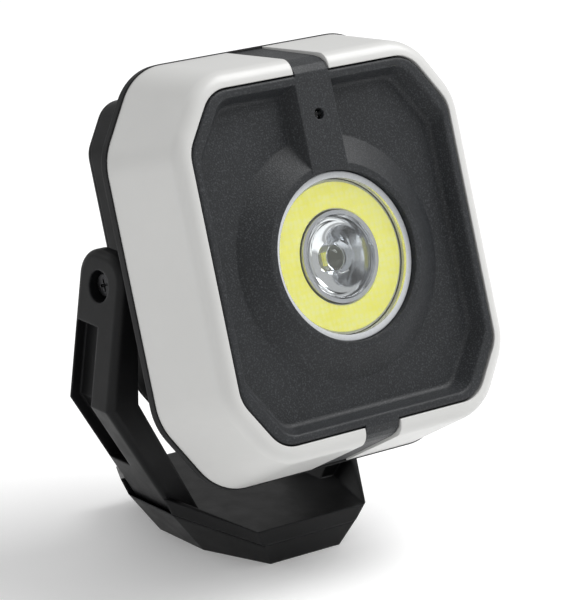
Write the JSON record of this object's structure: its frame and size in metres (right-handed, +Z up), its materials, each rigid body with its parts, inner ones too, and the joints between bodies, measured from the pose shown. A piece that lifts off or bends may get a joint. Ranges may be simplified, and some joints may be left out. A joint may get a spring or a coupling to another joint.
{
  "type": "work light",
  "caption": "Compact rechargeable work light: octagonal lamp head with flood ring and central spot, tilting in a U-shaped stand with a magnetic foot.",
  "frame": {"origin": "centre of the foot's flat bottom face", "axes": "+Z up, the lamp shines towards -Y, X along the tilt axis"},
  "size_m": [0.1, 0.0932, 0.1359],
  "materials": {
    "black_nylon": "satin moulded nylon",
    "black_panel": "fine spark texture",
    "black_shell": "satin",
    "pale_cover": "satin, soft edges",
    "magnet": "nickel plated",
    "dark_steel": "black oxide",
    "bright_steel": "zinc plated",
    "brass": "turned",
    "friction": "matt",
    "clear_lens": "clear polished",
    "phosphor": "phosphor yellow",
    "board_white": "white solder mask",
    "board_green": "green solder mask",
    "chrome_cup": "mirror",
    "sink_metal": "extruded",
    "light_pipe": "clear",
    "soft_rubber": "matt",
    "cell_wrap": "shrink wrap"
  },
  "bodies": {
    "stand": {"stand_bracket": "black_nylon", "foot_cover": "black_nylon", "foot_magnets": "magnet", "foot_screws": "dark_steel"},
    "head": {"pivot_screws": "dark_steel", "friction_washers": "friction", "threaded_inserts": "brass", "front_housing": "black_panel", "left_cover": "pale_cover", "right_cover": "pale_cover", "rear_shell": "black_shell", "rear_cover": "black_shell", "tactile_switch": "black_shell", "main_board": "board_green", "board_screws": "bright_steel", "charge_socket": "bright_steel", "lens": "clear_lens", "lens_seal": "soft_rubber", "flood_led_ring": "phosphor", "led_board": "board_white", "spot_optic": "chrome_cup", "spot_led": "phosphor", "spot_board": "board_white", "heat_sink": "sink_metal", "indicator_light": "light_pipe", "battery_pack": "cell_wrap", "battery_cradle": "black_shell", "case_screws": "dark_steel", "cover_screws": "dark_steel"},
    "button": {"power_button": "soft_rubber"},
    "flap": {"port_cover": "soft_rubber"}
  },
  "joints": [
    {"name": "head_tilt", "type": "hinge", "parent": "stand", "child": "head", "pos_m": [0, 0, 0.0762], "axis": [-1, 0, 0], "range_deg": [-21, 116]},
    {"name": "power_button_press", "type": "slide", "parent": "head", "child": "button", "axis": [0, -0.9455, 0.3256], "range_m": [0, 0.0008], "stiffness_N_per_m": 2500},
    {"name": "port_cover_hinge", "type": "hinge", "parent": "head", "child": "flap", "pos_m": [0, -0.00063, 0.04151], "axis": [-1, 0, 0], "range_deg": [0, 90]}
  ]
}
